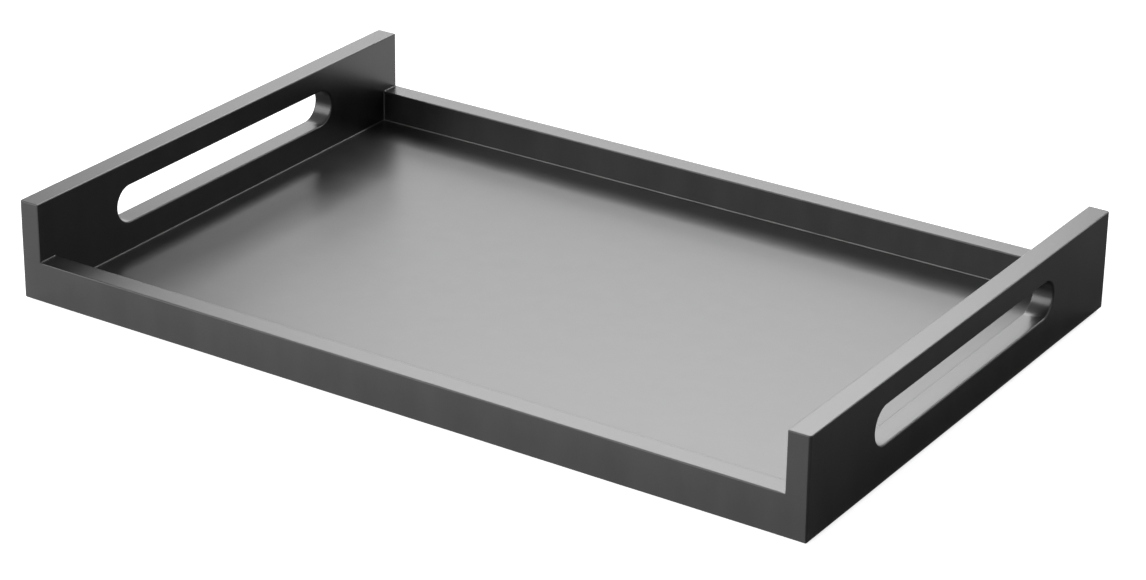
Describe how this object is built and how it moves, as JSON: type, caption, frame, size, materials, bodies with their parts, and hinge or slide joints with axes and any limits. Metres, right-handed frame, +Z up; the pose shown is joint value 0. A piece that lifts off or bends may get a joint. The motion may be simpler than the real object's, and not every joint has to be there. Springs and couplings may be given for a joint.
{
  "type": "room service tray",
  "caption": "Rectangular wooden serving tray with a flat base, low front and back rails and taller end panels with long hand slots.",
  "frame": {"origin": "on the surface that the feet stand on, under the middle of the tray", "axes": "+X along the tray from the left end panel to the right one, +Y from the front rail to the back rail, +Z up"},
  "size_m": [0.6, 0.4, 0.0723],
  "materials": {
    "black_lacquer": "satin black lacquer",
    "beech": "bare",
    "zinc_steel": "zinc plated",
    "black_rubber": "matte"
  },
  "bodies": {
    "root": {"left_end_panel": "black_lacquer", "right_end_panel": "black_lacquer", "front_rail": "black_lacquer", "back_rail": "black_lacquer", "base_panel": "black_lacquer", "dowel_front_left_lower": "beech", "dowel_front_left_upper": "beech", "dowel_front_right_lower": "beech", "dowel_front_right_upper": "beech", "dowel_back_left_lower": "beech", "dowel_back_left_upper": "beech", "dowel_back_right_lower": "beech", "dowel_back_right_upper": "beech", "base_screw_front_1": "zinc_steel", "base_screw_front_2": "zinc_steel", "base_screw_front_3": "zinc_steel", "base_screw_front_4": "zinc_steel", "base_screw_back_1": "zinc_steel", "base_screw_back_2": "zinc_steel", "base_screw_back_3": "zinc_steel", "base_screw_back_4": "zinc_steel", "base_screw_left_1": "zinc_steel", "base_screw_left_2": "zinc_steel", "base_screw_right_1": "zinc_steel", "base_screw_right_2": "zinc_steel", "foot_front_left": "black_rubber", "foot_front_right": "black_rubber", "foot_back_left": "black_rubber", "foot_back_right": "black_rubber"}
  },
  "joints": []
}
